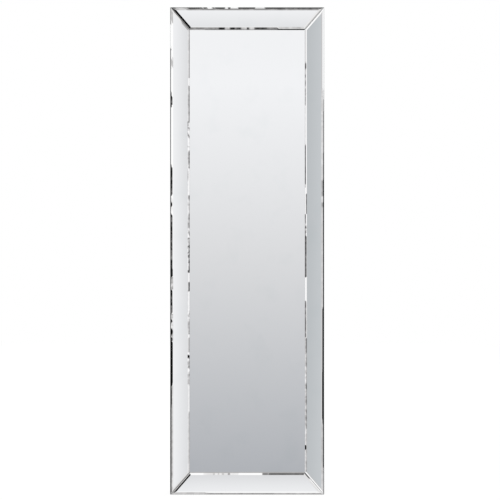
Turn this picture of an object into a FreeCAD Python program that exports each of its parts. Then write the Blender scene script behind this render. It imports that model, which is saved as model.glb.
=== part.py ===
import FreeCAD, Part
import math
import os
import re
import Sketcher

Vector = FreeCAD.Vector

# Full-length bevelled mirror, hung on a wall. X runs to the viewer's right, the mirror faces -Y, Z is up.
# The wall is the plane y = 0 and the origin is midway between the two hooks of the upright position.

# Driving sizes in millimetres, angles in degrees.
sizes = {
    # outline of the painted carcass
    "overall_width": 490.0,
    "overall_height": 1550.0,
    "board_thickness": 6.0,
    "board_arris": 0.8,
    # wedge rails that carry the sloping strips
    "rail_width": 50.0,
    "rail_arris": 0.8,
    # sloping bevelled strips
    "glass_margin": 0.5,
    "strip_width": 66.0,
    "strip_glass": 4.0,
    "strip_tilt": 30.0,
    "strip_seam": 0.4,
    "bevel_width": 8.0,
    "bevel_depth": 1.8,
    "mitre_gap": 0.6,
    # plain pane in the middle
    "centre_glass": 4.0,
    "centre_arris": 0.5,
    "centre_gap": 0.4,
    "centre_clearance": 1.0,
    # foam tape
    "tape_thickness": 1.0,
    "tape_width": 14.0,
    "tape_edge": 5.0,
    "tape_end": 6.0,
    "centre_tape_width": 20.0,
    "centre_tape_spread": 280.0,
    "centre_tape_end": 40.0,
    # countersunk screws that hold the board to the rails
    "board_screw_length": 22.0,
    "board_screw_shank": 3.4,
    "board_screw_head": 8.0,
    "board_screw_edge": 14.0,
    "board_screw_end": 60.0,
    "clearance_hole": 4.5,
    "screw_fit": 0.1,
    # folded straps
    "strap_width": 14.0,
    "strap_sheet": 1.2,
    "strap_length": 36.0,
    "strap_corner": 5.0,
    "strap_fold": 1.6,
    "strap_hole": 4.4,
    "first_hole": 20.5,
    "second_hole": 29.5,
    "hanger_side": 25.0,
    "hanger_drop": 185.0,
    "hanger_edge": 17.0,
    "hanger_spread": 900.0,
    # pan head screws of the straps
    "hanger_screw_length": 16.0,
    "hanger_screw_shank": 3.2,
    "hanger_screw_head": 7.4,
    "hanger_screw_rise": 2.4,
    # cross recess in the head of either screw
    "recess_span": 4.2,
    "recess_slot": 1.0,
    "recess_depth": 1.6,
    # D rings bent from round wire
    "ring_wire": 3.0,
    "ring_play": 0.08,
    "ring_width": 20.0,
    "ring_corner": 2.5,
    "ring_side": 1.5,
    "ring_rest_gap": 0.15,
    # rubber bumpers against the wall
    "bumper_height": 6.4,
    "bumper_base": 16.0,
    "bumper_face": 12.7,
    "bumper_skirt": 2.4,
    "bumper_round": 0.8,
    "bumper_edge": 25.0,
}

sideScrews = 7
endScrews = 3

doc = FreeCAD.newDocument("bevelled_mirror")
sheet = doc.addObject("Spreadsheet::Sheet", "Sizes")
for row, (name, size) in enumerate(sizes.items(), start=1):
    sheet.set(f"A{row}", name)
    sheet.set(f"B{row}", str(size))
    sheet.setAlias(f"B{row}", name)
doc.recompute()

cellName = re.compile(r"\b(" + "|".join(sizes) + r")\b")

# Depths measured forward from the wall, written in the names of the sheet.
boardFront = "(bumper_height + board_thickness)"
paneBack = f"({boardFront} + tape_thickness)"
stripFoot = f"({paneBack} + centre_glass + centre_gap)"
stripHead = f"({stripFoot} + strip_width * sin(strip_tilt))"
railHeight = (
    f"({stripHead} - tape_thickness / cos(strip_tilt) + glass_margin * tan(strip_tilt) - {boardFront})"
)

# The ring turns on an axis this high over the board, and reaches this far from it.
axisHeight = "(strap_sheet + ring_wire / 2 + ring_play)"
ringBow = "(ring_width / 2)"
ringReach = f"(ring_corner + ring_side + {ringBow})"

# Height of the middle of the mirror over the origin, which lies at the hooks.
middle = f"(hanger_drop - {ringReach} + ring_wire / 2 - overall_height / 2)"

front = Vector(0, -1, 0)
back = Vector(0, 1, 0)
sideInward = {
    "left": Vector(1, 0, 0),
    "right": Vector(-1, 0, 0),
    "top": Vector(0, 0, -1),
    "bottom": Vector(0, 0, 1),
}
sideSpan = {
    "left": "overall_height",
    "right": "overall_height",
    "top": "overall_width",
    "bottom": "overall_width",
}
sideReach = {
    "left": "overall_width / 2",
    "right": "overall_width / 2",
    "top": "overall_height / 2",
    "bottom": "overall_height / 2",
}

nodes = {}


def cells(expression):
    return cellName.sub(r"Sizes.\1", expression)


def value(expression):
    return float(sheet.evalExpression(cells(expression)))


def newBody(label):
    body = doc.addObject("PartDesign::Body", label)
    body.Label = label
    nodes[label] = body
    return body


def newSketch(body, plane, name):
    sketch = body.newObject("Sketcher::SketchObject", name)
    support = [feature for feature in body.Origin.OriginFeatures if feature.Role == plane]
    sketch.AttachmentSupport = [(support[0], "")]
    sketch.MapMode = "FlatFace"
    return sketch


def bindPoint(sketch, geometry, corner, across, up):
    # a sketch point is tied to the origin by bound distances
    for kind, expression in (("DistanceX", across), ("DistanceY", up)):
        if expression is None:
            continue
        size = value(expression)
        row = sketch.addConstraint(Sketcher.Constraint(kind, -1, 1, geometry, corner, size))
        sketch.setExpression(f"Constraints[{row}]", cells(expression))


def addOutline(sketch, corners):
    first = sketch.GeometryCount
    count = len(corners)
    places = [Vector(value(across), value(up), 0) for across, up in corners]
    for i in range(count):
        sketch.addGeometry(Part.LineSegment(places[i], places[(i + 1) % count]), False)
    for i in range(count):
        sketch.addConstraint(Sketcher.Constraint("Coincident", first + i, 2, first + (i + 1) % count, 1))
    for i, (across, up) in enumerate(corners):
        bindPoint(sketch, first + i, 1, across, up)


def addCircle(sketch, across, up, diameter):
    place = Vector(value(across), value(up), 0)
    radius = value(f"({diameter}) / 2")
    circle = sketch.addGeometry(Part.Circle(place, Vector(0, 0, 1), radius), False)
    row = sketch.addConstraint(Sketcher.Constraint("Diameter", circle, 2 * radius))
    sketch.setExpression(f"Constraints[{row}]", cells(diameter))
    bindPoint(sketch, circle, 3, across, up)


def addPad(body, sketch, name, length, middlePlane=False):
    pad = body.newObject("PartDesign::Pad", name)
    pad.Profile = sketch
    pad.setExpression("Length", cells(length))
    if middlePlane:
        pad.Midplane = True
    doc.recompute()
    return pad


def addPocket(body, sketch, name, depth):
    # cuts forward, along the sketch's own normal
    pocket = body.newObject("PartDesign::Pocket", name)
    pocket.Profile = sketch
    pocket.Reversed = True
    pocket.setExpression("Length", cells(depth))
    doc.recompute()
    return pocket


def addThroughCut(body, sketch, name):
    pocket = body.newObject("PartDesign::Pocket", name)
    pocket.Profile = sketch
    pocket.Type = "ThroughAll"
    pocket.Midplane = True
    doc.recompute()
    return pocket


def flatEdges(feature, height):
    # names of the edges that lie in one level of a feature
    names = []
    for i, edge in enumerate(feature.Shape.Edges, start=1):
        if all(abs(corner.Z - height) < 1e-6 for corner in edge.Vertexes):
            names.append(f"Edge{i}")
    return names


def addChamfer(body, feature, edges, name, size):
    chamfer = body.newObject("PartDesign::Chamfer", name)
    chamfer.Base = (feature, edges)
    chamfer.setExpression("Size", cells(size))
    doc.recompute()
    return chamfer


def addRevolution(body, corners, name):
    # turned about the sketch's upright axis
    sketch = newSketch(body, "XZ_Plane", name + "_profile")
    addOutline(sketch, corners)
    doc.recompute()
    turned = body.newObject("PartDesign::Revolution", name)
    turned.Profile = sketch
    turned.ReferenceAxis = (sketch, ["V_Axis"])
    turned.Angle = 360.0
    doc.recompute()
    return turned


def sideOrigin(side):
    # middle of one outer edge, on the wall
    return sideInward[side] * -value(sideReach[side]) + Vector(0, 0, value(middle))


def sidePlacement(side, inwardBy, forwardBy, tilt="0"):
    # x runs along the side, y inward (and down the slope when tilted), z forward
    inward = sideInward[side]
    turn = FreeCAD.Rotation(Vector(1, 0, 0), -value(tilt))
    frame = FreeCAD.Rotation(back.cross(inward), inward, front, "XYZ")
    place = sideOrigin(side) + inward * value(inwardBy) + front * value(forwardBy)
    return FreeCAD.Placement(place, frame * turn)


def panelPlacement(forwardBy):
    # x to the right, y up from the middle of the mirror, z forward
    place = Vector(0, -value(forwardBy), value(middle))
    return FreeCAD.Placement(place, FreeCAD.Rotation(Vector(1, 0, 0), 90))


def evenly(i, count, length):
    return f"(({i} / {count - 1} - 0.5) * ({length}))"


def boardScrewPlaces():
    # places on the panel for each side: across from its middle, up from its middle
    places = {side: [] for side in sideInward}
    for side, sign in (("left", "-"), ("right", "")):
        across = f"({sign}(overall_width / 2 - board_screw_edge))"
        for i in range(sideScrews):
            up = evenly(i, sideScrews, "overall_height - 2 * board_screw_end")
            places[side].append((across, up))
    for side, sign in (("bottom", "-"), ("top", "")):
        up = f"({sign}(overall_height / 2 - board_screw_edge))"
        for i in range(endScrews):
            across = evenly(i, endScrews, "overall_width - 2 * board_screw_end")
            places[side].append((across, up))
    return places


# Each hanger: ring axis on the panel, and the way its strap runs from there.
hangers = {
    "upright_left": ("(hanger_side - overall_width / 2)", "(overall_height / 2 - hanger_drop)", (0, -1)),
    "upright_right": ("(overall_width / 2 - hanger_side)", "(overall_height / 2 - hanger_drop)", (0, -1)),
    "sideways_upper": ("(overall_width / 2 - hanger_edge)", "(hanger_spread / 2)", (-1, 0)),
    "sideways_lower": ("(overall_width / 2 - hanger_edge)", "(-hanger_spread / 2)", (-1, 0)),
}


def hangerScrewPlaces():
    places = []
    for across, up, (alongX, alongZ) in hangers.values():
        for hole in ("first_hole", "second_hole"):
            places.append((f"({across} + {alongX} * {hole})", f"({up} + {alongZ} * {hole})"))
    return places


def hangerPlacement(hanger):
    # x along the ring's axis, y along the strap, z away from the board towards the wall
    across, up, (alongX, alongZ) = hangers[hanger]
    along = Vector(alongX, 0, alongZ)
    frame = FreeCAD.Rotation(along.cross(back), along, back, "XYZ")
    place = Vector(value(across), -value("bumper_height"), value(up) + value(middle))
    return FreeCAD.Placement(place, frame)


def onRail(side, across, up):
    # a place on the panel, told in the frame of one rail
    if side == "left":
        return f"(-{up})", f"({across} + overall_width / 2)"
    if side == "right":
        return up, f"(overall_width / 2 - {across})"
    if side == "top":
        return f"(-{across})", f"(overall_height / 2 - {up})"
    return across, f"({up} + overall_height / 2)"


def makeBackBoard():
    body = newBody("back_board")
    outline = newSketch(body, "XY_Plane", "board_outline")
    addOutline(outline, [
        ("-overall_width / 2", "-overall_height / 2"),
        ("overall_width / 2", "-overall_height / 2"),
        ("overall_width / 2", "overall_height / 2"),
        ("-overall_width / 2", "overall_height / 2"),
    ])
    panel = addPad(body, outline, "board_panel", "board_thickness")
    eased = addChamfer(body, panel, flatEdges(panel, 0.0), "board_eased_edge", "board_arris")
    pilots = newSketch(body, "XY_Plane", "board_pilots")
    for across, up in hangerScrewPlaces():
        addCircle(pilots, across, up, "hanger_screw_shank + screw_fit")
    addThroughCut(body, pilots, "board_pilot_holes")
    sinks = newSketch(body, "XY_Plane", "board_sinks")
    for places in boardScrewPlaces().values():
        for across, up in places:
            addCircle(sinks, across, up, "clearance_hole")
    doc.recompute()
    holes = body.newObject("PartDesign::Hole", "board_countersunk_holes")
    holes.Profile = sinks
    doc.recompute()
    holes.Reversed = True
    holes.Threaded = False
    holes.DepthType = "ThroughAll"
    holes.setExpression("Diameter", cells("clearance_hole"))
    holes.HoleCutType = "Countersink"
    holes.setExpression("HoleCutDiameter", cells("board_screw_head + 2 * screw_fit"))
    holes.HoleCutCountersinkAngle = 90.0
    body.Placement = panelPlacement("bumper_height")
    doc.recompute()


def makeRail(side, screwPlaces):
    body = newBody(f"rail_{side}")
    span = sideSpan[side]
    plan = newSketch(body, "XY_Plane", f"rail_{side}_plan")
    addOutline(plan, [
        (f"-{span} / 2", "0"),
        (f"{span} / 2", "0"),
        (f"{span} / 2 - rail_width", "rail_width"),
        (f"rail_width - {span} / 2", "rail_width"),
    ])
    addPad(body, plan, f"rail_{side}_block", railHeight)
    slope = newSketch(body, "YZ_Plane", f"rail_{side}_slope")
    addOutline(slope, [
        ("-rail_width", f"{railHeight} + rail_width * tan(strip_tilt)"),
        ("2 * rail_width", f"{railHeight} - 2 * rail_width * tan(strip_tilt)"),
        ("2 * rail_width", f"{railHeight} + rail_width"),
        ("-rail_width", f"{railHeight} + rail_width"),
    ])
    wedge = addThroughCut(body, slope, f"rail_{side}_wedge")
    eased = body.newObject("PartDesign::Fillet", f"rail_{side}_eased_edge")
    eased.Base = (wedge, flatEdges(wedge, value(railHeight)))
    eased.setExpression("Radius", cells("rail_arris"))
    doc.recompute()
    pilots = newSketch(body, "XY_Plane", f"rail_{side}_pilots")
    for across, up in screwPlaces[side]:
        addCircle(pilots, *onRail(side, across, up), "board_screw_shank + screw_fit")
    addPocket(body, pilots, f"rail_{side}_pilot_holes", "board_screw_length - board_thickness + screw_fit")
    if side in ("left", "right"):
        strapPilots = newSketch(body, "XY_Plane", f"rail_{side}_strap_pilots")
        for across, up in hangerScrewPlaces():
            if (value(across) < 0) == (side == "left"):
                addCircle(strapPilots, *onRail(side, across, up), "hanger_screw_shank + screw_fit")
        depth = "hanger_screw_length - 2 * strap_sheet - board_thickness + screw_fit"
        addPocket(body, strapPilots, f"rail_{side}_strap_pilot_holes", depth)
    body.Placement = sidePlacement(side, "0", boardFront)


def makeMirrorStrip(side):
    # the ends are ground square to the glass, so a tilted mitre closes at the front and opens behind
    body = newBody(f"mirror_strip_{side}")
    halfOuter = (
        f"({sideSpan[side]} / 2 - glass_margin - (strip_glass - bevel_depth) * sin(strip_tilt)"
        " - mitre_gap / sqrt(2))"
    )
    halfInner = f"({halfOuter} - strip_width * cos(strip_tilt))"
    outline = newSketch(body, "XY_Plane", f"strip_{side}_outline")
    addOutline(outline, [
        (f"-{halfOuter}", "0"),
        (halfOuter, "0"),
        (halfInner, "strip_width"),
        (f"-{halfInner}", "strip_width"),
    ])
    pane = addPad(body, outline, f"strip_{side}_glass", "strip_glass")
    bevel = body.newObject("PartDesign::Chamfer", f"strip_{side}_bevel")
    bevel.Base = (pane, flatEdges(pane, value("strip_glass")))
    bevel.ChamferType = "Two distances"
    bevel.setExpression("Size", cells("bevel_width"))
    bevel.setExpression("Size2", cells("bevel_depth"))
    bevel.FlipDirection = True
    doc.recompute()
    addChamfer(body, bevel, flatEdges(bevel, 0.0), f"strip_{side}_seamed_back", "strip_seam")
    body.Placement = sidePlacement(side, "glass_margin", stripHead, "strip_tilt")


def makeTape(label, bands, placement):
    # flat bands of foam tape: each is its middle, its lower edge, its length and its width
    boxes = []
    for i, (acrossMiddle, lowerEdge, length, width) in enumerate(bands, start=1):
        box = doc.addObject("Part::Box", f"{label}_band_{i}")
        box.setExpression("Length", cells(length))
        box.setExpression("Width", cells(width))
        box.setExpression("Height", cells("tape_thickness"))
        start = Vector(value(f"{acrossMiddle} - ({length}) / 2"), value(lowerEdge), -value("tape_thickness"))
        box.Placement = placement * FreeCAD.Placement(start, FreeCAD.Rotation())
        boxes.append(box)
    tape = doc.addObject("Part::Compound", label)
    tape.Label = label
    tape.Links = boxes
    nodes[label] = tape


def makeStripTape(side):
    bands = []
    innerBand = "(rail_width / cos(strip_tilt) - tape_edge - tape_width)"
    for lowerEdge in ("tape_edge", innerBand):
        far = f"(({lowerEdge} + tape_width) * cos(strip_tilt))"
        length = f"({sideSpan[side]} - 2 * (glass_margin + strip_glass + {far} + tape_end))"
        bands.append(("0", lowerEdge, length, "tape_width"))
    placement = sidePlacement(side, "glass_margin", stripHead, "strip_tilt")
    makeTape(f"strip_tape_{side}", bands, placement)


def makeCentreMirror():
    body = newBody("centre_mirror")
    halfWidth = "(overall_width / 2 - rail_width - centre_clearance)"
    halfHeight = "(overall_height / 2 - rail_width - centre_clearance)"
    outline = newSketch(body, "XY_Plane", "centre_outline")
    addOutline(outline, [
        (f"-{halfWidth}", f"-{halfHeight}"),
        (halfWidth, f"-{halfHeight}"),
        (halfWidth, halfHeight),
        (f"-{halfWidth}", halfHeight),
    ])
    pane = addPad(body, outline, "centre_glass_pane", "centre_glass")
    rims = flatEdges(pane, 0.0) + flatEdges(pane, value("centre_glass"))
    addChamfer(body, pane, rims, "centre_seamed_edge", "centre_arris")
    body.Placement = panelPlacement(paneBack)


def makeCentreTape():
    length = "(overall_height - 2 * (rail_width + centre_clearance + centre_tape_end))"
    bands = []
    for place in ("-centre_tape_spread / 2", "0", "centre_tape_spread / 2"):
        bands.append((place, f"-{length} / 2", "centre_tape_width", length))
    makeTape("centre_tape", bands, panelPlacement(paneBack))


def makeStrap(hanger):
    # sheet steel folded double round the ring's straight leg
    body = newBody(f"hanger_strap_{hanger}")
    plate = newSketch(body, "XY_Plane", f"strap_{hanger}_plan")
    addOutline(plate, [
        ("-strap_width / 2", "0"),
        ("strap_width / 2", "0"),
        ("strap_width / 2", "strap_length"),
        ("-strap_width / 2", "strap_length"),
    ])
    flat = addPad(body, plate, f"strap_{hanger}_plate", "2 * strap_sheet")
    corners = []
    for i, edge in enumerate(flat.Shape.Edges, start=1):
        if all(abs(corner.Y - value("strap_length")) < 1e-6 for corner in edge.Vertexes):
            if abs(edge.Vertexes[0].X - edge.Vertexes[1].X) < 1e-6:
                corners.append(f"Edge{i}")
    rounded = body.newObject("PartDesign::Fillet", f"strap_{hanger}_end")
    rounded.Base = (flat, corners)
    rounded.setExpression("Radius", cells("strap_corner"))
    doc.recompute()
    barrel = newSketch(body, "YZ_Plane", f"strap_{hanger}_barrel_end")
    addCircle(barrel, "0", axisHeight, f"2 * {axisHeight}")
    rolled = addPad(body, barrel, f"strap_{hanger}_barrel", "strap_width", middlePlane=True)
    # the upper sheet comes down from the barrel in a bend
    atPlate = []
    for name in flatEdges(rolled, value("2 * strap_sheet")):
        if all(corner.Y < value(axisHeight) for corner in rolled.Shape.getElement(name).Vertexes):
            atPlate.append(name)
    fold = body.newObject("PartDesign::Fillet", f"strap_{hanger}_fold")
    fold.Base = (rolled, atPlate)
    fold.setExpression("Radius", cells("strap_fold"))
    doc.recompute()
    bore = newSketch(body, "YZ_Plane", f"strap_{hanger}_bore_end")
    addCircle(bore, "0", axisHeight, "ring_wire + 2 * ring_play")
    addThroughCut(body, bore, f"strap_{hanger}_bore")
    holes = newSketch(body, "XY_Plane", f"strap_{hanger}_hole_places")
    for hole in ("first_hole", "second_hole"):
        addCircle(holes, "0", hole, "strap_hole")
    addThroughCut(body, holes, f"strap_{hanger}_holes")
    body.Placement = hangerPlacement(hanger)


def makeRing(hanger):
    # one wire bent to a D; its straight leg lies in the strap's barrel and it hangs folded over the strap
    body = newBody(f"d_ring_{hanger}")
    bow = value(ringBow)
    corner = value("ring_corner")
    leg = bow - corner
    shoulder = corner + value("ring_side")
    up = Vector(0, 0, 1)
    quarter = math.pi / 2
    path = newSketch(body, "XY_Plane", f"ring_{hanger}_path")
    path.addGeometry(Part.LineSegment(Vector(-leg, 0, 0), Vector(leg, 0, 0)), False)
    path.addGeometry(Part.ArcOfCircle(Part.Circle(Vector(leg, corner, 0), up, corner), -quarter, 0), False)
    path.addGeometry(Part.LineSegment(Vector(bow, corner, 0), Vector(bow, shoulder, 0)), False)
    path.addGeometry(Part.ArcOfCircle(Part.Circle(Vector(0, shoulder, 0), up, bow), 0, 2 * quarter), False)
    path.addGeometry(Part.LineSegment(Vector(-bow, shoulder, 0), Vector(-bow, corner, 0)), False)
    path.addGeometry(
        Part.ArcOfCircle(Part.Circle(Vector(-leg, corner, 0), up, corner), 2 * quarter, 3 * quarter), False
    )
    for piece in range(6):
        path.addConstraint(Sketcher.Constraint("Coincident", piece, 2, (piece + 1) % 6, 1))
    bindPoint(path, 0, 1, f"ring_corner - {ringBow}", "0")
    bindPoint(path, 0, 2, f"{ringBow} - ring_corner", "0")
    bindPoint(path, 2, 1, ringBow, "ring_corner")
    bindPoint(path, 2, 2, ringBow, "ring_corner + ring_side")
    bindPoint(path, 4, 1, f"-{ringBow}", "ring_corner + ring_side")
    bindPoint(path, 4, 2, f"-{ringBow}", "ring_corner")
    bindPoint(path, 1, 3, None, "ring_corner")
    bindPoint(path, 3, 3, None, "ring_corner + ring_side")
    bindPoint(path, 5, 3, None, "ring_corner")
    wire = newSketch(body, "YZ_Plane", f"ring_{hanger}_wire")
    wire.AttachmentOffset = FreeCAD.Placement(Vector(0, 0, -leg), FreeCAD.Rotation())
    addCircle(wire, "0", "0", "ring_wire")
    doc.recompute()
    sweep = body.newObject("PartDesign::AdditivePipe", f"ring_{hanger}_sweep")
    sweep.Profile = wire
    sweep.Spine = (path, [f"Edge{i}" for i in range(1, 7)])
    onStrap = f"(ring_corner + ring_side + sqrt({ringBow} * {ringBow} - strap_width * strap_width / 4))"
    lift = f"asin((2 * strap_sheet + ring_wire / 2 + ring_rest_gap - {axisHeight}) / {onStrap})"
    onAxis = FreeCAD.Placement(
        Vector(0, 0, value(axisHeight)), FreeCAD.Rotation(Vector(1, 0, 0), value(lift))
    )
    body.Placement = hangerPlacement(hanger) * onAxis


def addRecess(body, name, headTop):
    # a cross sunk into the flat top of a screw's head
    plan = newSketch(body, "XY_Plane", name + "_plan")
    plan.setExpression("AttachmentOffset.Base.z", cells(headTop))
    far, near = "(recess_span / 2)", "(recess_slot / 2)"
    addOutline(plan, [
        (far, f"-{near}"), (far, near), (near, near),
        (near, far), (f"-{near}", far), (f"-{near}", near),
        (f"-{far}", near), (f"-{far}", f"-{near}"), (f"-{near}", f"-{near}"),
        (f"-{near}", f"-{far}"), (near, f"-{far}"), (near, f"-{near}"),
    ])
    doc.recompute()
    addPocket(body, plan, name, "recess_depth")


def makeScrews(label, corners, placements):
    # one turned screw with a cross recess, repeated as separate solids of one group
    body = doc.addObject("PartDesign::Body", label + "_one")
    addRevolution(body, corners, label + "_turned")
    addRecess(body, label + "_recess", corners[0][1])
    group = doc.addObject("Part::Feature", label)
    group.Label = label
    group.Shape = Part.makeCompound([body.Shape.transformed(place.toMatrix()) for place in placements])
    nodes[label] = group


def makeBoardScrews(screwPlaces):
    # head flush with the back of the board, point forward
    corners = [
        ("0", "0"),
        ("board_screw_head / 2", "0"),
        ("board_screw_shank / 2", "(board_screw_head - board_screw_shank) / 2"),
        ("board_screw_shank / 2", "board_screw_length - board_screw_shank"),
        ("0", "board_screw_length"),
    ]
    panel = panelPlacement("bumper_height")
    placements = []
    for places in screwPlaces.values():
        for across, up in places:
            start = Vector(value(across), value(up), 0)
            placements.append(panel * FreeCAD.Placement(start, FreeCAD.Rotation()))
    makeScrews("board_screws", corners, placements)


def makeHangerScrews():
    # flat underside of the head on the strap, point forward
    corners = [
        ("0", "-hanger_screw_rise"),
        ("hanger_screw_head / 2 - hanger_screw_rise / 2", "-hanger_screw_rise"),
        ("hanger_screw_head / 2", "-hanger_screw_rise / 2"),
        ("hanger_screw_head / 2", "0"),
        ("hanger_screw_shank / 2", "0"),
        ("hanger_screw_shank / 2", "hanger_screw_length - hanger_screw_shank"),
        ("0", "hanger_screw_length"),
    ]
    panel = panelPlacement("bumper_height - 2 * strap_sheet")
    placements = []
    for across, up in hangerScrewPlaces():
        start = Vector(value(across), value(up), 0)
        placements.append(panel * FreeCAD.Placement(start, FreeCAD.Rotation()))
    makeScrews("hanger_screws", corners, placements)


def makeBumper(label, across, up):
    body = newBody(label)
    turned = addRevolution(body, [
        ("0", "0"),
        ("bumper_base / 2", "0"),
        ("bumper_base / 2", "bumper_skirt"),
        ("bumper_face / 2", "bumper_height"),
        ("0", "bumper_height"),
    ], label + "_turned")
    softened = body.newObject("PartDesign::Fillet", label + "_rim")
    softened.Base = (turned, flatEdges(turned, value("bumper_height")))
    softened.setExpression("Radius", cells("bumper_round"))
    place = Vector(value(across), -value("bumper_height"), value(up) + value(middle))
    body.Placement = FreeCAD.Placement(place, FreeCAD.Rotation(Vector(1, 0, 0), -90))
    doc.recompute()


screwPlaces = boardScrewPlaces()
makeBackBoard()
for side in sideInward:
    makeRail(side, screwPlaces)
    makeStripTape(side)
    makeMirrorStrip(side)
makeCentreTape()
makeCentreMirror()
makeBoardScrews(screwPlaces)
for hanger in hangers:
    makeStrap(hanger)
    makeRing(hanger)
makeHangerScrews()
for level, sign in (("top", ""), ("bottom", "-")):
    for flank, turn in (("left", "-"), ("right", "")):
        across = f"({turn}(overall_width / 2 - bumper_edge))"
        up = f"({sign}(overall_height / 2 - bumper_edge))"
        makeBumper(f"wall_bumper_{level}_{flank}", across, up)

doc.recompute()
for item in doc.Objects:
    if "Invalid" in item.State or "Error" in item.State:
        raise RuntimeError(f"{item.Label} did not compute")
for label, item in nodes.items():
    if item.Shape.isNull() or not item.Shape.isValid():
        raise RuntimeError(f"{label} has no valid shape")

os.makedirs("parts", exist_ok=True)
for label, item in nodes.items():
    item.Shape.exportStep(f"parts/{label}.step")
    print(label, len(item.Shape.Solids), round(item.Shape.Volume, 1))
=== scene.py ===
import math

import bmesh
import bpy
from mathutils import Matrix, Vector


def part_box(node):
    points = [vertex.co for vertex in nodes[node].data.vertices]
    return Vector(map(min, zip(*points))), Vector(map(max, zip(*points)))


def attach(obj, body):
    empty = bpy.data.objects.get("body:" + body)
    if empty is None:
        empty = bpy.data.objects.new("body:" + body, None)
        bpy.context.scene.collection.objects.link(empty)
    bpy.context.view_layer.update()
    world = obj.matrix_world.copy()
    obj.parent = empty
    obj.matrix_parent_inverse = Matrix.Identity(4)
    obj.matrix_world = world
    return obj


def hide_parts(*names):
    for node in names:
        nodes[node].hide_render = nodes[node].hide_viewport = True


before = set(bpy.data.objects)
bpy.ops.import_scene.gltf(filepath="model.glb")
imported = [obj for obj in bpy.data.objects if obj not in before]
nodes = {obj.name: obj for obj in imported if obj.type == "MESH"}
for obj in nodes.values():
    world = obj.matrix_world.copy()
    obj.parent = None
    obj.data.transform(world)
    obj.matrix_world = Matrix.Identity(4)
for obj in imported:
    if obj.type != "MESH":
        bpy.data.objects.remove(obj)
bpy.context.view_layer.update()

mm = 0.001
boardLow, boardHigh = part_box("back_board")
middleZ = (boardLow.z + boardHigh.z) / 2
panelWidth = boardHigh.x - boardLow.x
panelHeight = boardHigh.z - boardLow.z
boardBack = boardHigh.y
sides = ("left", "right", "top", "bottom")
hangers = ("upright_left", "upright_right", "sideways_upper", "sideways_lower")
print("frame loaded, panel", round(panelWidth / mm), "x", round(panelHeight / mm), "mm")


# an sRGB colour as linear red, green, blue and a full alpha
def hexToLinear(text):
    channels = [int(text[i:i + 2], 16) / 255 for i in (1, 3, 5)]
    return [c / 12.92 if c <= 0.04045 else ((c + 0.055) / 1.055) ** 2.4 for c in channels] + [1.0]


def linearStops(tones):
    return [(spot, hexToLinear(colour)) for spot, colour in tones]


# one node with its settings, socket values, links and, for a ramp, its stops
def addNode(tree, kind, settings=None, values=None, links=None, stops=None):
    node = tree.nodes.new(kind)
    for name, setting in (settings or {}).items():
        setattr(node, name, setting)
    for socket, value in (values or {}).items():
        node.inputs[socket].default_value = value
    for socket, source in (links or {}).items():
        tree.links.new(source, node.inputs[socket])
    if stops:
        ramp = node.color_ramp
        while len(ramp.elements) < len(stops):
            ramp.elements.new(0.5)
        for element, (spot, colour) in zip(ramp.elements, stops):
            element.position = spot
            element.color = colour
    return node


def newMaterial(name):
    material = bpy.data.materials.new(name)
    material.use_nodes = True
    tree = material.node_tree
    tree.nodes.clear()
    return material, tree


# Camera: square on, a little right of and below the mirror's middle, 1.85 m from the wall.
camera = {
    "right": 20 * mm,
    "below": 15 * mm,
    "distance": 1850 * mm,
    "sensor": 36,             # millimetres
    "frame": 500,             # in pixels, as the next three are
    "focal": 565.9,
    "axisX": 253.45,          # where the line of sight meets the frame
    "axisY": 255.65,
}
lens = bpy.data.cameras.new("photoCamera")
lens.sensor_width = camera["sensor"]
lens.lens = camera["focal"] * camera["sensor"] / camera["frame"]
lens.shift_x = 0.5 - camera["axisX"] / camera["frame"]
lens.shift_y = camera["axisY"] / camera["frame"] - 0.5
eye = bpy.data.objects.new("photoCamera", lens)
eye.location = (camera["right"], -camera["distance"], middleZ - camera["below"])
eye.rotation_euler = (math.radians(90), 0, 0)
bpy.context.collection.objects.link(eye)
bpy.context.scene.camera = eye
bpy.context.scene.view_settings.view_transform = "Standard"
print("camera set")


# Studio: white behind the object, a soft grey room for the mirrors to show.
silverTint = "#f7f8f7"    # what 4 mm float glass with a silver back leaves of the light
plainWhite = (1, 1, 1, 1)
studio = {
    # room seen by the pane and by the top and bottom strips, by degrees above the horizon
    "upAndDown": (
        (-90, "#c4c6c8"), (-62, "#dfe1e2"), (-51, "#f7f8f7"), (-46, "#f7f8f7"), (-38, "#e3e4e6"),
        (-36.5, "#f0f1f3"), (-22.9, "#f7f8f7"), (-21.2, "#afb2b7"), (0, "#dadbdd"), (7.6, "#e6e7e9"),
        (14.5, "#eff0f2"), (17, "#f2f3f5"), (21.4, "#f1f2f4"), (23.6, "#f7f8f7"), (37.4, "#eeeff1"),
        (38.8, "#dbdcde"), (41, "#c9cbcd"), (46, "#f7f8f7"), (53, "#f7f8f7"), (66, "#d6d8d9"),
        (90, "#c4c6c8"),
    ),
    # room seen by the strips at the two sides, by degrees to the right
    "sideToSide": (
        (-90, "#a9abae"), (-72, "#eeeeee"), (-66, "#f2f3f3"), (-60, "#b3b7ba"), (-54.6, "#babec1"),
        (-53.2, "#c4c8cb"), (-44, "#f4f5f5"), (44, "#f7f8f7"), (51.9, "#f0f1f3"), (53.4, "#dddee0"),
        (57, "#bcbec0"), (65, "#f2f3f3"), (72, "#eeeeee"), (90, "#a9abae"),
    ),
    "sideStart": 33.0,        # degrees where the sides of the room take over
    "sideFull": 37.5,
    "wallEnd": 25.0,          # degrees up and down where the side walls end
    "wallGone": 28.5,
    "leastAhead": 0.02,       # keeps the angles within 90 degrees, behind as well
    "fill": 0.62,             # light from all round on matt surfaces
    "lampWatts": 26.0,
    "lampSize": 1.8,
    "frontLamp": (-1.5, -2.3, 1.5),    # metres from the mirror's middle
    "backLamp": (1.3, 2.2, 1.3),
}


# the room has to be this bright for the silvered glass to show the tone named
def roomTone(text):
    return [min(1.0, tone / tint) for tone, tint in zip(hexToLinear(text), hexToLinear(silverTint))]


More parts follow.
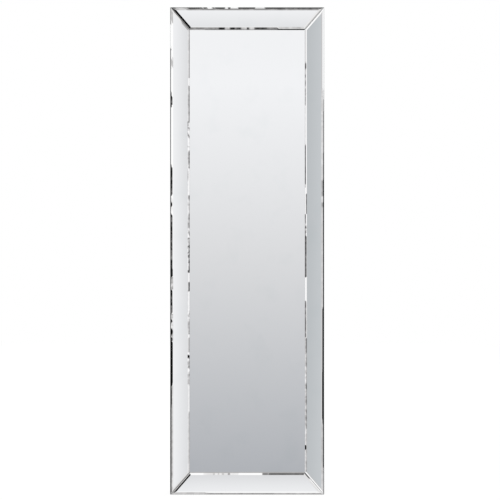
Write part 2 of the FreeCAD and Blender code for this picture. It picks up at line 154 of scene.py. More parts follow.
world = bpy.data.worlds.new("paleStudio")
world.use_nodes = True
bpy.context.scene.world = world
tree = world.node_tree
tree.nodes.clear()
place = addNode(tree, "ShaderNodeTexCoord")
parts = addNode(tree, "ShaderNodeSeparateXYZ", links={0: place.outputs["Generated"]})
ahead = addNode(tree, "ShaderNodeMath", {"operation": "MULTIPLY"}, {1: -1.0}, {0: parts.outputs["Y"]})
ahead = addNode(
    tree, "ShaderNodeMath", {"operation": "MAXIMUM"}, {1: studio["leastAhead"]}, {0: ahead.outputs[0]},
)
quarter = math.pi / 2
angles = {}
tones = {}
for sweep, axis in (("upAndDown", "Z"), ("sideToSide", "X")):
    angles[sweep] = addNode(
        tree, "ShaderNodeMath", {"operation": "ARCTAN2"}, None,
        {0: parts.outputs[axis], 1: ahead.outputs[0]},
    )
    share = addNode(
        tree, "ShaderNodeMapRange", None, {1: -quarter, 2: quarter}, {0: angles[sweep].outputs[0]},
    )
    tones[sweep] = addNode(
        tree, "ShaderNodeValToRGB", None, None, {0: share.outputs[0]},
        [((degrees + 90) / 180, roomTone(tone)) for degrees, tone in studio[sweep]],
    )
turnSize = addNode(
    tree, "ShaderNodeMath", {"operation": "ABSOLUTE"}, None, {0: angles["sideToSide"].outputs[0]},
)
sideShare = addNode(
    tree, "ShaderNodeMapRange", {"interpolation_type": "SMOOTHSTEP"},
    {1: math.radians(studio["sideStart"]), 2: math.radians(studio["sideFull"])}, {0: turnSize.outputs[0]},
)
# past the top and bottom of the side walls the room is pale again
climb = addNode(tree, "ShaderNodeMath", {"operation": "ABSOLUTE"}, None, {0: parts.outputs["Z"]})
wallEnd, wallGone = (math.sin(math.radians(studio[name])) for name in ("wallEnd", "wallGone"))
pastWalls = addNode(
    tree, "ShaderNodeMapRange", {"interpolation_type": "SMOOTHSTEP"}, {1: wallEnd, 2: wallGone},
    {0: climb.outputs[0]},
)
walls = addNode(
    tree, "ShaderNodeMix", {"data_type": "RGBA"}, {7: plainWhite},
    {0: pastWalls.outputs[0], 6: tones["sideToSide"].outputs[0]},
)
room = addNode(
    tree, "ShaderNodeMix", {"data_type": "RGBA"}, None,
    {0: sideShare.outputs[0], 6: tones["upAndDown"].outputs[0], 7: walls.outputs[2]},
)
rays = addNode(tree, "ShaderNodeLightPath")
roomLight = addNode(tree, "ShaderNodeBackground", None, {1: 1.0}, {0: room.outputs[2]})
fillLight = addNode(tree, "ShaderNodeBackground", None, {0: plainWhite, 1: studio["fill"]})
whiteLight = addNode(tree, "ShaderNodeBackground", None, {0: plainWhite, 1: 1.0})
light = addNode(
    tree, "ShaderNodeMixShader", None, None,
    {0: rays.outputs["Is Glossy Ray"], 1: fillLight.outputs[0], 2: roomLight.outputs[0]},
)
seen = addNode(
    tree, "ShaderNodeMath", {"operation": "MAXIMUM"}, None,
    {0: rays.outputs["Is Camera Ray"], 1: rays.outputs["Is Transmission Ray"]},
)
light = addNode(
    tree, "ShaderNodeMixShader", None, None,
    {0: seen.outputs[0], 1: light.outputs[0], 2: whiteLight.outputs[0]},
)
addNode(tree, "ShaderNodeOutputWorld", None, None, {0: light.outputs[0]})

for name in ("frontLamp", "backLamp"):
    right, back, up = studio[name]
    lamp = bpy.data.lights.new(name, "AREA")
    lamp.energy = studio["lampWatts"]
    lamp.size = studio["lampSize"]
    holder = bpy.data.objects.new(name, lamp)
    holder.location = (right, back, middleZ + up)
    aim = Vector((0, 0, middleZ)) - holder.location
    holder.rotation_euler = aim.to_track_quat("-Z", "Y").to_euler()
    holder.visible_glossy = False
    bpy.context.collection.objects.link(holder)

# floor: matt and pale, nearly white to the camera, and it keeps a faint shadow
floorSizes = {"reach": 3.0, "shadowShare": 0.16, "glow": 1.08, "colour": "#f3f3f2"}
floorMaterial, tree = newMaterial("paleFloor")
matt = addNode(tree, "ShaderNodeBsdfDiffuse", None, {0: hexToLinear(floorSizes["colour"])})
white = addNode(tree, "ShaderNodeEmission", None, {0: plainWhite, 1: floorSizes["glow"]})
rays = addNode(tree, "ShaderNodeLightPath")
share = addNode(
    tree, "ShaderNodeMath", {"operation": "MULTIPLY"}, {1: 1 - floorSizes["shadowShare"]},
    {0: rays.outputs["Is Camera Ray"]},
)
shown = addNode(
    tree, "ShaderNodeMixShader", None, None, {0: share.outputs[0], 1: matt.outputs[0], 2: white.outputs[0]},
)
addNode(tree, "ShaderNodeOutputMaterial", None, None, {0: shown.outputs[0]})
floorMesh = bpy.data.meshes.new("floor")
reach = floorSizes["reach"]
floorCorners = ((-reach, -reach), (reach, -reach), (reach, reach), (-reach, reach))
floorMesh.from_pydata([(x, y, boardLow.z) for x, y in floorCorners], [], [(0, 1, 2, 3)])
floorMesh.materials.append(floorMaterial)
floor = bpy.data.objects.new("floor", floorMesh)
floor.visible_glossy = False
bpy.context.collection.objects.link(floor)
print("studio set")


# Materials. Each pattern's size and depth is in millimetres of the real surface.
noiseLow, noiseHigh = 0.3, 0.7    # nearly all of a noise texture lies between these
waveTurn = 20                     # radians of the wave texture for each unit of its scale
glassIndex = 1.52                 # of refraction, for float glass

# Silvered float glass: a clear, even mirror; faint haze and roller draw lines show only close to.
silverLook = {
    "haze": 90,
    "draw": 45,               # for each radian of the wave that makes the draw lines
    "drawDepth": 0.05,
    "drawStrength": 0.02,
    "drawWander": 1.5,
    "rough": (0.004, 0.02),
    "tones": ((0.2, "#f3f5f4"), (0.45, silverTint)),
}
silveredGlass, tree = newMaterial("silveredFloatGlass")
place = addNode(tree, "ShaderNodeTexCoord")
haze = addNode(
    tree, "ShaderNodeTexNoise", None, {"Scale": 1 / (silverLook["haze"] * mm), "Detail": 3.0},
    {"Vector": place.outputs["Object"]},
)
shade = addNode(
    tree, "ShaderNodeValToRGB", None, None, {0: haze.outputs["Fac"]}, linearStops(silverLook["tones"]),
)
dull = addNode(
    tree, "ShaderNodeMapRange", None,
    {1: noiseLow, 2: noiseHigh, 3: silverLook["rough"][0], 4: silverLook["rough"][1]},
    {0: haze.outputs["Fac"]},
)
drawScale = 1 / (silverLook["draw"] * mm) / waveTurn
drawn = addNode(
    tree, "ShaderNodeTexWave", {"wave_type": "BANDS", "bands_direction": "X"},
    {"Scale": drawScale, "Distortion": silverLook["drawWander"], "Detail": 1.0},
    {"Vector": place.outputs["Object"]},
)
ripple = addNode(
    tree, "ShaderNodeBump", None,
    {"Strength": silverLook["drawStrength"], "Distance": silverLook["drawDepth"] * mm},
    {"Height": drawn.outputs["Fac"]},
)
surface = addNode(
    tree, "ShaderNodeBsdfPrincipled", None, {"Metallic": 1.0},
    {"Base Color": shade.outputs[0], "Roughness": dull.outputs[0], "Normal": ripple.outputs[0]},
)
addNode(tree, "ShaderNodeOutputMaterial", None, None, {0: surface.outputs[0]})

# Polished bevel: ground on a wheel, so what it mirrors breaks into dark and bright runs along the edge.
# These runs are painted reflection in its base colour, over the real mirror shine; they are drawn as coarse
# as they need to show.
bevelLook = {
    "runLength": 40,
    "runHeight": 30,
    "breakLength": 13,
    "breakHeight": 14,
    "breakShare": 0.6,
    "runGain": 8.0,
    "soft": 0.4,              # the tone at the edge passes into the one beside the face over twice this
    "rough": 0.03,
    # painted reflection: near black to white, what the bevel is painted as mirroring
    "tones": ((0.0, "#0d0d0d"), (0.2, "#2b2b2b"), (0.42, "#8a8989"), (0.62, "#d1d0d0"), (0.8, "#ffffff")),
}
bevelWithPaintedReflection, tree = newMaterial("polishedBevelPaintedReflection")
run = addNode(tree, "ShaderNodeUVMap", {"uv_map": "run"})
noises = {}
for name in ("run", "break"):
    scales = (1 / (bevelLook[name + "Length"] * mm), 1 / (bevelLook[name + "Height"] * mm), 1)
    spread = addNode(tree, "ShaderNodeMapping", None, {"Scale": scales}, {"Vector": run.outputs[0]})
    noises[name] = addNode(
        tree, "ShaderNodeTexNoise", None, {"Scale": 1.0, "Detail": 1.0}, {"Vector": spread.outputs[0]},
    )
both = addNode(
    tree, "ShaderNodeMix", None, {0: bevelLook["breakShare"]},
    {2: noises["run"].outputs["Fac"], 3: noises["break"].outputs["Fac"]},
)
swing = addNode(
    tree, "ShaderNodeMath", {"operation": "MULTIPLY_ADD"},
    {1: bevelLook["runGain"], 2: -bevelLook["runGain"] / 2}, {0: both.outputs[0]},
)
tone, broken, reach, beside = (
    addNode(tree, "ShaderNodeAttribute", {"attribute_name": name}).outputs["Fac"]
    for name in ("tone", "broken", "reach", "beside")
)
across = addNode(tree, "ShaderNodeSeparateXYZ", None, None, {0: run.outputs[0]})
past = addNode(
    tree, "ShaderNodeMath", {"operation": "SUBTRACT"}, None, {0: across.outputs["Y"], 1: reach},
)
nearFace = addNode(
    tree, "ShaderNodeMapRange", {"interpolation_type": "SMOOTHSTEP"},
    {1: -bevelLook["soft"] * mm, 2: bevelLook["soft"] * mm}, {0: past.outputs[0]},
)
level = addNode(tree, "ShaderNodeMix", None, None, {0: nearFace.outputs[0], 2: tone, 3: beside})
level = addNode(
    tree, "ShaderNodeMath", {"operation": "MULTIPLY_ADD"}, None,
    {0: swing.outputs[0], 1: broken, 2: level.outputs[0]},
)
# painted reflection: the level picks the bevel's base colour from dark to bright
shade = addNode(
    tree, "ShaderNodeValToRGB", None, None, {0: level.outputs[0]}, linearStops(bevelLook["tones"]),
)
surface = addNode(
    tree, "ShaderNodeBsdfPrincipled", None, {"Metallic": 1.0, "Roughness": bevelLook["rough"]},
    {"Base Color": shade.outputs[0]},
)
addNode(tree, "ShaderNodeOutputMaterial", None, None, {0: surface.outputs[0]})

# Ground glass edge: seamed with a belt, a dull dark green with a fine grit.
# It is painted pale, as painted light, where the glass would bring light to it.
groundLook = {
    "grit": 0.9,
    "gritDepth": 0.05,
    "gritStrength": 0.3,
    "gritShare": 0.3,
    "rough": 0.38,
    # dark green is the edge's own colour; the pale end is painted light
    "tones": ((0.7, "#39423f"), (1.0, "#f0f3f2")),
}
groundEdgeWithPaintedLight, tree = newMaterial("groundGlassEdgePaintedLight")
place = addNode(tree, "ShaderNodeTexCoord")
grit = addNode(
    tree, "ShaderNodeTexNoise", None, {"Scale": 1 / (groundLook["grit"] * mm), "Detail": 3.0},
    {"Vector": place.outputs["Object"]},
)
# painted light: how pale the edge is painted, set on each strip with the bevel's painted reflection
ground = addNode(tree, "ShaderNodeAttribute", {"attribute_name": "ground"})
level = addNode(
    tree, "ShaderNodeMath", {"operation": "MULTIPLY_ADD"},
    {1: groundLook["gritShare"], 2: -groundLook["gritShare"] / 2}, {0: grit.outputs["Fac"]},
)
level = addNode(
    tree, "ShaderNodeMath", {"operation": "ADD"}, None, {0: level.outputs[0], 1: ground.outputs["Fac"]},
)
shade = addNode(
    tree, "ShaderNodeValToRGB", None, None, {0: level.outputs[0]}, linearStops(groundLook["tones"]),
)
bumps = addNode(
    tree, "ShaderNodeBump", None,
    {"Strength": groundLook["gritStrength"], "Distance": groundLook["gritDepth"] * mm},
    {"Height": grit.outputs["Fac"]},
)
surface = addNode(
    tree, "ShaderNodeBsdfPrincipled", None, {"Roughness": groundLook["rough"], "IOR": glassIndex},
    {"Base Color": shade.outputs[0], "Normal": bumps.outputs[0]},
)
addNode(tree, "ShaderNodeOutputMaterial", None, None, {0: surface.outputs[0]})

# Mirror backing paint: flow coated, grey brown and matt.
backLook = {"flow": 14, "rough": 0.6, "tones": ((noiseLow, "#4b4845"), (noiseHigh, "#5c5854"))}
backingPaint, tree = newMaterial("mirrorBackingPaint")
place = addNode(tree, "ShaderNodeTexCoord")
flow = addNode(
    tree, "ShaderNodeTexNoise", None, {"Scale": 1 / (backLook["flow"] * mm), "Detail": 4.0},
    {"Vector": place.outputs["Object"]},
)
shade = addNode(
    tree, "ShaderNodeValToRGB", None, None, {0: flow.outputs["Fac"]}, linearStops(backLook["tones"]),
)
surface = addNode(
    tree, "ShaderNodeBsdfPrincipled", None, {"Roughness": backLook["rough"]},
    {"Base Color": shade.outputs[0]},
)
addNode(tree, "ShaderNodeOutputMaterial", None, None, {0: surface.outputs[0]})
print("glass materials made")


# Sprayed MDF, roller coated board, tape, plated and phosphated steel and rubber: the same build from two
# colours, a grain and a bump.
plainFinishes = {
    # sprayed satin lacquer on MDF: black brown, slight orange peel
    "satinLacqueredMdf": {
        "dark": "#171615", "pale": "#1e1c1b", "grain": (9, 9, 9), "rough": (0.34, 0.39), "metal": 0.0,
        "bumpSize": 1.4, "bumpDepth": 0.04, "bumpStrength": 0.25,
    },
    # roller coated board: black, with long fibre marks and a stipple, rubbed to brown fibre along its edge
    "rollerCoatedBoard": {
        "dark": "#1b1a1a", "pale": "#2a2827", "grain": (3, 3, 40), "rough": (0.46, 0.66), "metal": 0.0,
        "bumpSize": 2.2, "bumpDepth": 0.12, "bumpStrength": 0.5,
        "rub": {
            "colour": "#6b5846", "start": 0.9, "full": 0.4,
            "patch": 22, "patchLow": 0.48, "patchHigh": 0.62,
        },
    },
    # closed cell acrylic foam: dull grey white with pores
    "acrylicFoamTape": {
        "dark": "#b9b7b2", "pale": "#dedcd6", "grain": (0.8, 0.8, 0.8), "rough": (0.75, 0.9), "metal": 0.0,
        "bumpSize": 0.6, "bumpDepth": 0.2, "bumpStrength": 0.6,
    },
    # zinc plate over pressed steel: cool grey with a faint warm bloom
    "zincPlatedSteel": {
        "dark": "#9ea2a8", "pale": "#c9cbcc", "grain": (2.5, 2.5, 7), "rough": (0.24, 0.4), "metal": 1.0,
        "bumpSize": 0.5, "bumpDepth": 0.02, "bumpStrength": 0.2,
    },
    # phosphated steel: charcoal, dull, with a fine crystal grain
    "phosphatedSteel": {
        "dark": "#232326", "pale": "#3c3c41", "grain": (0.7, 0.7, 0.7), "rough": (0.4, 0.55), "metal": 0.7,
        "bumpSize": 0.4, "bumpDepth": 0.03, "bumpStrength": 0.3,
    },
    # moulded rubber: soft black, fine skin texture, a little bloom
    "mouldedRubber": {
        "dark": "#161616", "pale": "#262524", "grain": (3, 3, 3), "rough": (0.62, 0.8), "metal": 0.0,
        "bumpSize": 0.5, "bumpDepth": 0.06, "bumpStrength": 0.4,
    },
}
finishes = {}
for name, look in plainFinishes.items():
    finishes[name], tree = newMaterial(name)
    place = addNode(tree, "ShaderNodeTexCoord")
    grainSpace = addNode(
        tree, "ShaderNodeMapping", None, {"Scale": tuple(1 / (size * mm) for size in look["grain"])},
        {"Vector": place.outputs["Object"]},
    )
    grain = addNode(
        tree, "ShaderNodeTexNoise", None, {"Scale": 1.0, "Detail": 4.0}, {"Vector": grainSpace.outputs[0]},
    )
    shade = addNode(
        tree, "ShaderNodeValToRGB", None, None, {0: grain.outputs["Fac"]},
        linearStops(((noiseLow, look["dark"]), (noiseHigh, look["pale"]))),
    )
    dull = addNode(
        tree, "ShaderNodeMapRange", None,
        {1: noiseLow, 2: noiseHigh, 3: look["rough"][0], 4: look["rough"][1]}, {0: grain.outputs["Fac"]},
    )
    skin = addNode(
        tree, "ShaderNodeTexNoise", None, {"Scale": 1 / (look["bumpSize"] * mm), "Detail": 2.0},
        {"Vector": place.outputs["Object"]},
    )
    bumps = addNode(
        tree, "ShaderNodeBump", None,
        {"Strength": look["bumpStrength"], "Distance": look["bumpDepth"] * mm},
        {"Height": skin.outputs["Fac"]},
    )
    colour = shade.outputs[0]
    # worn through in patches, only close to the edge at the back
    if "rub" in look:
        rub = look["rub"]
        spot = addNode(tree, "ShaderNodeSeparateXYZ", None, None, {0: place.outputs["Object"]})
        edges = []
        for axis, centre, half in (("X", 0, panelWidth / 2), ("Z", middleZ, panelHeight / 2)):
            off = addNode(
                tree, "ShaderNodeMath", {"operation": "SUBTRACT"}, {1: centre}, {0: spot.outputs[axis]},
            )
            off = addNode(tree, "ShaderNodeMath", {"operation": "ABSOLUTE"}, None, {0: off.outputs[0]})
            near = addNode(
                tree, "ShaderNodeMapRange", None, {1: half - rub["start"] * mm, 2: half - rub["full"] * mm},
                {0: off.outputs[0]},
            )
            edges.append(near.outputs[0])
        edge = addNode(tree, "ShaderNodeMath", {"operation": "MAXIMUM"}, None, {0: edges[0], 1: edges[1]})
        behind = addNode(
            tree, "ShaderNodeMapRange", None,
            {1: boardBack - rub["start"] * mm, 2: boardBack - rub["full"] * mm}, {0: spot.outputs["Y"]},
        )
        edge = addNode(
            tree, "ShaderNodeMath", {"operation": "MULTIPLY"}, None,
            {0: edge.outputs[0], 1: behind.outputs[0]},
        )
        patch = addNode(
            tree, "ShaderNodeTexNoise", None, {"Scale": 1 / (rub["patch"] * mm), "Detail": 5.0},
            {"Vector": place.outputs["Object"]},
        )
        worn = addNode(
            tree, "ShaderNodeMapRange", None, {1: rub["patchLow"], 2: rub["patchHigh"]},
            {0: patch.outputs["Fac"]},
        )
        worn = addNode(
            tree, "ShaderNodeMath", {"operation": "MULTIPLY"}, None,
            {0: worn.outputs[0], 1: edge.outputs[0]},
        )
        rubbed = addNode(
            tree, "ShaderNodeMix", {"data_type": "RGBA"}, {7: hexToLinear(rub["colour"])},
            {0: worn.outputs[0], 6: colour},
        )
        colour = rubbed.outputs[2]
    surface = addNode(
        tree, "ShaderNodeBsdfPrincipled", None, {"Metallic": look["metal"]},
        {"Base Color": colour, "Roughness": dull.outputs[0], "Normal": bumps.outputs[0]},
    )
    addNode(tree, "ShaderNodeOutputMaterial", None, None, {0: surface.outputs[0]})
print("plain finishes made")


def paint(node, material):
    for slot in nodes[node].material_slots:
        slot.material = material


paint("centre_mirror", silveredGlass)
paint("back_board", finishes["rollerCoatedBoard"])
paint("centre_tape", finishes["acrylicFoamTape"])
for side in sides:
    paint("rail_" + side, finishes["satinLacqueredMdf"])
    paint("strip_tape_" + side, finishes["acrylicFoamTape"])
for hanger in hangers:
    paint("hanger_strap_" + hanger, finishes["zincPlatedSteel"])
    paint("d_ring_" + hanger, finishes["zincPlatedSteel"])
for corner in ("top_left", "top_right", "bottom_left", "bottom_right"):
    paint("wall_bumper_" + corner, finishes["mouldedRubber"])
print("pieces painted")


# Bevelled strips: each a mitred piece of glass, ground to a bevel on all four edges.
strip = {
    "width": 66 * mm,
    "glass": 4 * mm,
    "tilt": math.radians(30),
    "bevelWidth": 8 * mm,
    "bevelDepth": 1.8 * mm,
    "margin": 0.5 * mm,
    "mitreGap": 0.6 * mm,
    "foot": 17.8 * mm,         # back inner edge to the wall
    "seam": 0.4 * mm,
    "arris": 0.3 * mm,
    "piece": 3 * mm,           # length of one piece of a long edge
    "mitrePieces": 16,
    "runFade": 3 * mm,         # over which one run passes into the next
}
# Painted reflection: how each bevel's painted dark and bright runs go, from its top, left or outer end: its
# tone from dark to bright, how broken that is, how many millimetres it reaches from the edge, and the tone
# beside the face. The first levels hold for the whole bevel, and each run after them changes some between two
# shares of the side. A foot is the thin edge that the pane mirrors. The ground edge below a bevel is painted
# pale or dark as painted light, by the bevel's tone, or by its own where one is given.
paintedBevelReflections = {
    ("left", "outer"): (
        {"tone": 0.2, "broken": 0.1, "reach": 6.3, "beside": 1},
        (0, 0.035, {"tone": 0.57, "broken": 0.05, "reach": 8}),
        (0.035, 0.085, {"tone": 1, "broken": 0}),
        (0.085, 0.179, {"tone": 0.28, "broken": 0.02, "reach": 1.5}),
        (0.103, 0.126, {"beside": 0.6}),
        (0.203, 0.326, {"tone": 0.27, "broken": 0.02, "reach": 1.6}),
        (0.386, 0.425, {"tone": 0.26, "broken": 0.1, "reach": 1.6, "beside": 0.8}),
        (0.4, 0.409, {"tone": 0.08, "reach": 5.5}),
        (0.498, 0.519, {"tone": 0.38}),
        (0.537, 0.553, {"tone": 0.06, "reach": 7.2}),
        (0.553, 0.58, {"tone": 0.14, "broken": 0.12, "reach": 1.6, "beside": 0.57}),
        (0.613, 0.628, {"tone": 0.35, "reach": 6.5}),
        (0.628, 0.686, {"tone": 0.12, "broken": 0.12, "reach": 1.6, "beside": 0.61}),
        (0.641, 0.647, {"tone": 0.08, "reach": 6}),
        (0.66, 0.672, {"tone": 0.02, "reach": 6}),
        (0.678, 0.684, {"tone": 0.02, "reach": 6}),
        (0.686, 0.775, {"tone": 0, "broken": 0, "reach": 7.2}),
        (0.775, 1, {"tone": 0.14, "broken": 0.04, "reach": 3.2, "beside": 0.6}),
        (0.783, 0.818, {"tone": 0.08, "reach": 4.4}),
    ),
    ("right", "outer"): (
        {"tone": 0.04, "broken": 0.03, "reach": 2.4, "beside": 0.62},
        (0, 0.17, {"tone": 1.3, "broken": 0, "reach": 4, "beside": 0.6}),
        (0.17, 0.19, {"tone": 0.77}),
        (0.19, 0.215, {"tone": 0.58}),
        (0.215, 0.3, {"tone": 0.45, "beside": 0.67}),
        (0.3, 0.355, {"tone": 0.28, "beside": 0.67}),
        (0.355, 0.388, {"reach": 3.4, "beside": 0.56}),
        (0.388, 0.401, {"reach": 2.2, "beside": 0.7}),
        (0.401, 0.41, {"reach": 3.4, "beside": 0.56}),
        (0.617, 0.745, {"tone": 0.02, "broken": 0, "reach": 4.5}),
        (0.745, 0.85, {"tone": 0, "broken": 0, "reach": 5.3, "beside": 0.65}),
        (0.85, 1, {"tone": 0.24, "reach": 3, "beside": 0.59}),
        (0.945, 1, {"tone": 0.5, "beside": 0.62}),
    ),
    ("top", "outer"): (
        {"tone": 0.16, "broken": 0.04, "reach": 3.6, "beside": 0.46},
        (0.03, 0.11, {"tone": 0.44, "reach": 1.5, "beside": 0.62}),
        (0.204, 0.217, {"tone": 0.66}),
        (0.24, 0.272, {"tone": 1, "broken": 0}),
        (0.282, 0.292, {"tone": 0.6}),
        (0.356, 0.377, {"tone": 0.85, "broken": 0}),
        (0.392, 0.441, {"tone": 1, "broken": 0, "reach": 2.6}),
        (0.551, 0.616, {"tone": 0.78, "broken": 0, "reach": 2.6}),
        (0.73, 1, {"tone": 0.24}),
    ),
    ("bottom", "outer"): (
        {"tone": 0.48, "broken": 0.03, "reach": 4.6, "beside": 1},
        (0, 0.235, {"tone": 0.57, "reach": 6.5}),
        (0.68, 1, {"tone": 0.52}),
    ),
    ("left", "inner"): (
        {"tone": 0.6, "broken": 0.3, "reach": 4.8, "beside": 0.72},
        (0.02, 0.14, {"tone": 0.5, "broken": 0.03, "reach": 4}),
        (0.14, 0.155, {"tone": 1, "broken": 0}),
        (0.155, 0.23, {"tone": 0.46, "broken": 0.06}),
        (0.23, 0.29, {"tone": 0.72, "broken": 0.35}),
        (0.29, 0.328, {"tone": 0.42, "broken": 0.12}),
        (0.328, 0.383, {"tone": 0.9, "broken": 0.12}),
        (0.383, 0.452, {"tone": 0.5, "broken": 0.15}),
        (0.46, 0.546, {"tone": 0.35, "broken": 0.5}),
        (0.474, 0.486, {"tone": 0.6, "broken": 0.1}),
        (0.53, 0.538, {"tone": 0.3, "broken": 0.1}),
        (0.546, 0.565, {"tone": 0.95, "broken": 0}),
        (0.565, 0.584, {"tone": 0.22, "broken": 0.1}),
        (0.584, 0.623, {"tone": 0.9, "broken": 0.05}),
        (0.644, 0.671, {"tone": 0.55, "broken": 0.1}),
        (0.674, 0.68, {"tone": 1, "broken": 0}),
        (0.68, 0.711, {"tone": 0.54, "broken": 0.02}),
        (0.711, 0.727, {"tone": 0.45, "broken": 0.6}),
        (0.75, 0.78, {"tone": 0.62, "broken": 0.15}),
        (0.78, 0.835, {"tone": 0.75, "broken": 0.03}),
        (0.835, 1, {"tone": 0.58, "broken": 0.03}),
    ),
    ("right", "inner"): (
        {"tone": 0.62, "broken": 0.1, "reach": 4, "beside": 0.85},
        (0.02, 0.108, {"tone": 0.66, "broken": 0}),
        (0.108, 0.121, {"tone": 0.3, "reach": 6}),
        (0.131, 0.138, {"tone": 0.32}),
        (0.138, 0.196, {"tone": 0.5}),
        (0.196, 0.279, {"tone": 0.72, "broken": 0.03}),
        (0.279, 0.361, {"tone": 0.26, "broken": 0.05, "beside": 1}),
        (0.369, 0.423, {"tone": 1, "broken": 0.05}),
        (0.381, 0.423, {"beside": 0.4}),
        (0.423, 0.438, {"tone": 0.32}),
        (0.438, 0.469, {"tone": 0.55, "broken": 0.3}),
        (0.469, 0.555, {"tone": 0.3, "broken": 0.08, "reach": 7}),
        (0.555, 0.604, {"tone": 0.85, "broken": 0.05}),
        (0.604, 0.68, {"tone": 0.42, "broken": 0.08, "reach": 6}),
        (0.68, 0.87, {"tone": 0.62, "beside": 0.46}),
        (0.757, 0.779, {"tone": 0.76, "beside": 0.56}),
        (0.87, 1, {"tone": 0.68, "broken": 0.06, "beside": 0.56}),
        (0.905, 0.9135, {"tone": 0, "broken": 0, "reach": 6}),
    ),
    ("top", "inner"): (
        {"tone": 0.43, "broken": 0.05, "reach": 7, "beside": 0.9},
        (0.314, 0.353, {"tone": 0.17}),
        (0.353, 0.386, {"tone": 0.6}),
        (0.386, 0.419, {"tone": 0.2}),
        (0.427, 0.459, {"tone": 0.25}),
        (0.459, 0.498, {"tone": 0.6}),
        (0.498, 0.512, {"tone": 0.22}),
        (0.512, 0.548, {"tone": 0.64}),
        (0.548, 0.63, {"tone": 0.26}),
        (0.703, 0.9, {"tone": 0.06, "reach": 1.8, "beside": 0.6}),
    ),
    ("bottom", "inner"): (
        {"tone": 0.54, "broken": 0.02, "reach": 1.6, "beside": 1},
        (0.208, 0.446, {"beside": 0.71}),
        (0.274, 0.287, {"beside": 0.58}),
        (0.307, 0.314, {"beside": 0.58}),
        (0.333, 0.347, {"beside": 0.58}),
        (0.373, 0.386, {"beside": 0.46}),
        (0.597, 0.64, {"beside": 0.42}),
        (0.64, 0.9, {"beside": 0.33}),
    ),
    ("left", "foot"): ({"tone": 0.55, "broken": 0.05, "reach": 8, "beside": 1},),
    ("right", "foot"): (
        {"tone": 0.6, "broken": 0.05, "reach": 8, "beside": 1},
        (0.68, 0.87, {"tone": 0.74}),
    ),
    ("top", "foot"): (
        {"tone": 0.42, "broken": 0.05, "reach": 8, "beside": 1},
        (0, 0.22, {"tone": 0.58}),
        (0.63, 0.703, {"tone": 0.3}),
        (0.703, 1, {"tone": 0.05}),
    ),
    ("bottom", "foot"): ({"tone": 0.54, "broken": 0.02, "reach": 8, "beside": 1},),
    ("left", "mitreTop"): (
        {"tone": 0.7, "broken": 0, "reach": 5, "beside": 0.72},
        (0.55, 1, {"tone": 0.5, "reach": 8}),
    ),
    ("top", "mitreLeft"): ({"tone": 0.5, "broken": 0, "reach": 1.6, "beside": 0},),
    ("top", "mitreRight"): ({"tone": 0.57, "broken": 0, "reach": 3.4, "beside": 0.72, "ground": 1.2},),
    ("right", "mitreTop"): ({"tone": 0.66, "broken": 0, "reach": 2, "beside": 1.15, "ground": 1.2},),
    ("left", "mitreBottom"): ({"tone": 0.6, "broken": 0, "reach": 4.2, "beside": 0.7},),
    ("bottom", "mitreLeft"): ({"tone": 0.56, "broken": 0, "reach": 3.2, "beside": 0.05},),
    ("bottom", "mitreRight"): (
        {"tone": 0.74, "broken": 0, "reach": 3.2, "beside": 0.68, "ground": 1.2},
        (0.73, 1, {"tone": 0.3, "ground": 0.3}),
    ),
    ("right", "mitreBottom"): ({"tone": 1.15, "broken": 0, "reach": 5.5, "beside": 0.58},),
}
# metres along the noise between one edge's runs and another's, so that no two are alike
runStarts = {"inner": 3.0, "foot": 4.5, "mitreAhead": 6.0, "mitreBehind": 9.0, "nextSide": 13.0}
inwards = {
    "left": Vector((1, 0, 0)),
    "right": Vector((-1, 0, 0)),
    "top": Vector((0, 0, -1)),
    "bottom": Vector((0, 0, 1)),
}
backward = Vector((0, 1, 0))
stripMaterials = (silveredGlass, bevelWithPaintedReflection, groundEdgeWithPaintedLight, backingPaint)
onFace, onBevel, onGround, onBack = range(len(stripMaterials))


def bevelLevels(side, edge, share, fade):
    whole, *runs = paintedBevelReflections[side, edge]
    levels = dict(whole)
    for start, end, changes in runs:
        inside = max(0.0, min(1.0, min(share - start, end - share) / fade + 0.5))
        for name, level in changes.items():
            levels[name] += (level - levels[name]) * inside
    levels["reach"] *= mm
    # the ground edge's painted light follows the bevel's painted reflection unless given
    levels.setdefault("ground", levels["tone"])
    return levels


